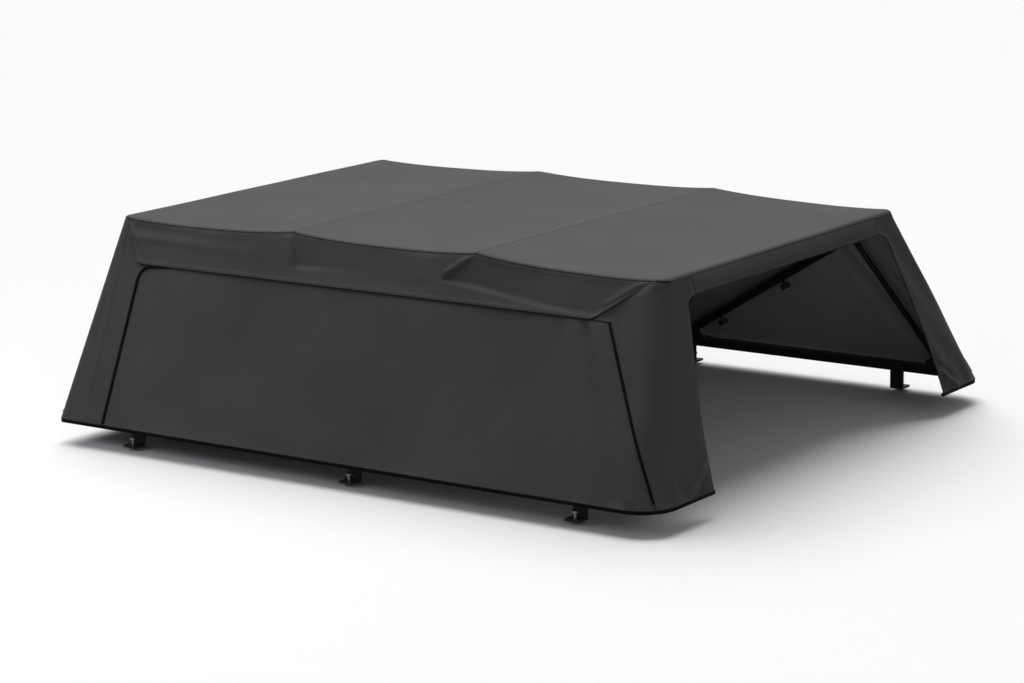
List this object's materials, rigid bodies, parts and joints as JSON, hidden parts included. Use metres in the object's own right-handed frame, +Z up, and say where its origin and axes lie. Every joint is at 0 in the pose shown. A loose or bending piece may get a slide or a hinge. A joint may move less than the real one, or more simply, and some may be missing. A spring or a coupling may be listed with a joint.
{
  "type": "soft truck canopy",
  "caption": "Soft fabric canopy for a pickup box: folding bows on clamp-on rails carry a charcoal fabric cover with an open rear window.",
  "frame": {"origin": "middle of the base, at the lowest point of the rail clamps", "axes": "+X forward to the cab along the canopy's length, +Y to the left, +Z up"},
  "size_m": [1.8708, 1.7354, 0.576],
  "materials": {
    "canopy_fabric": "matte",
    "coated_tube": "satin",
    "rail_aluminium": "satin",
    "clamp_aluminium": "satin",
    "zinc_steel": "satin",
    "black_plastic": "matte"
  },
  "bodies": {
    "frame": {"rail_left": "rail_aluminium", "rail_right": "rail_aluminium", "rail_front": "rail_aluminium", "clamps_left": "clamp_aluminium", "clamps_right": "clamp_aluminium", "clamp_bolts_left": "zinc_steel", "clamp_bolts_right": "zinc_steel", "bow_front": "coated_tube", "pivot_bracket_left": "clamp_aluminium", "pivot_bracket_right": "clamp_aluminium", "pivot_bolt_left": "zinc_steel", "pivot_bolt_right": "zinc_steel", "saddle_left": "black_plastic", "saddle_right": "black_plastic", "front_panel": "canopy_fabric", "pillar_left": "canopy_fabric", "pillar_right": "canopy_fabric", "side_panel_left": "canopy_fabric", "side_panel_right": "canopy_fabric"},
    "second_bow": {"bow_two": "coated_tube", "roof_front": "canopy_fabric", "fall_front_left": "canopy_fabric", "fall_front_right": "canopy_fabric"},
    "third_bow": {"bow_three": "coated_tube", "roof_middle": "canopy_fabric", "fall_middle_left": "canopy_fabric", "fall_middle_right": "canopy_fabric"},
    "rear_bow": {"bow_rear": "coated_tube", "arm_knobs_left": "black_plastic", "arm_knobs_right": "black_plastic", "strut_pin_left": "zinc_steel", "strut_pin_right": "zinc_steel", "roof_rear": "canopy_fabric", "header": "canopy_fabric", "fall_rear_left": "canopy_fabric", "fall_rear_right": "canopy_fabric", "corner_left": "canopy_fabric", "corner_right": "canopy_fabric"},
    "left_strut": {"strut_left": "coated_tube"},
    "right_strut": {"strut_right": "coated_tube"}
  },
  "joints": [
    {"name": "top_fold", "type": "hinge", "parent": "frame", "child": "second_bow", "pos_m": [-0.01, 0, 0.104], "axis": [0, 1, 0], "range_deg": [0, 43.5], "deforming": ["roof_front", "fall_front_left", "fall_front_right", "side_panel_left", "side_panel_right"]},
    {"name": "third_bow_fold", "type": "hinge", "parent": "second_bow", "child": "third_bow", "pos_m": [-0.01, 0, 0.104], "axis": [0, 1, 0], "range_deg": [0, 57.5], "deforming": ["roof_middle", "fall_middle_left", "fall_middle_right"]},
    {"name": "rear_bow_fold", "type": "hinge", "parent": "third_bow", "child": "rear_bow", "pos_m": [-0.01, 0, 0.104], "axis": [0, 1, 0], "range_deg": [0, 27.1], "deforming": ["roof_rear", "fall_rear_left", "fall_rear_right", "corner_left", "corner_right"]},
    {"name": "left_strut_fold", "type": "hinge", "parent": "rear_bow", "child": "left_strut", "pos_m": [-0.66051, 0.571, 0.47728], "axis": [0, -1, 0], "range_deg": [0, 55]},
    {"name": "right_strut_fold", "type": "hinge", "parent": "rear_bow", "child": "right_strut", "pos_m": [-0.66051, -0.571, 0.47728], "axis": [0, -1, 0], "range_deg": [0, 55]}
  ],
  "couplings": [
    {"joint": "third_bow_fold", "follows": "top_fold", "ratio": 1.3218},
    {"joint": "rear_bow_fold", "follows": "top_fold", "ratio": 0.623}
  ]
}
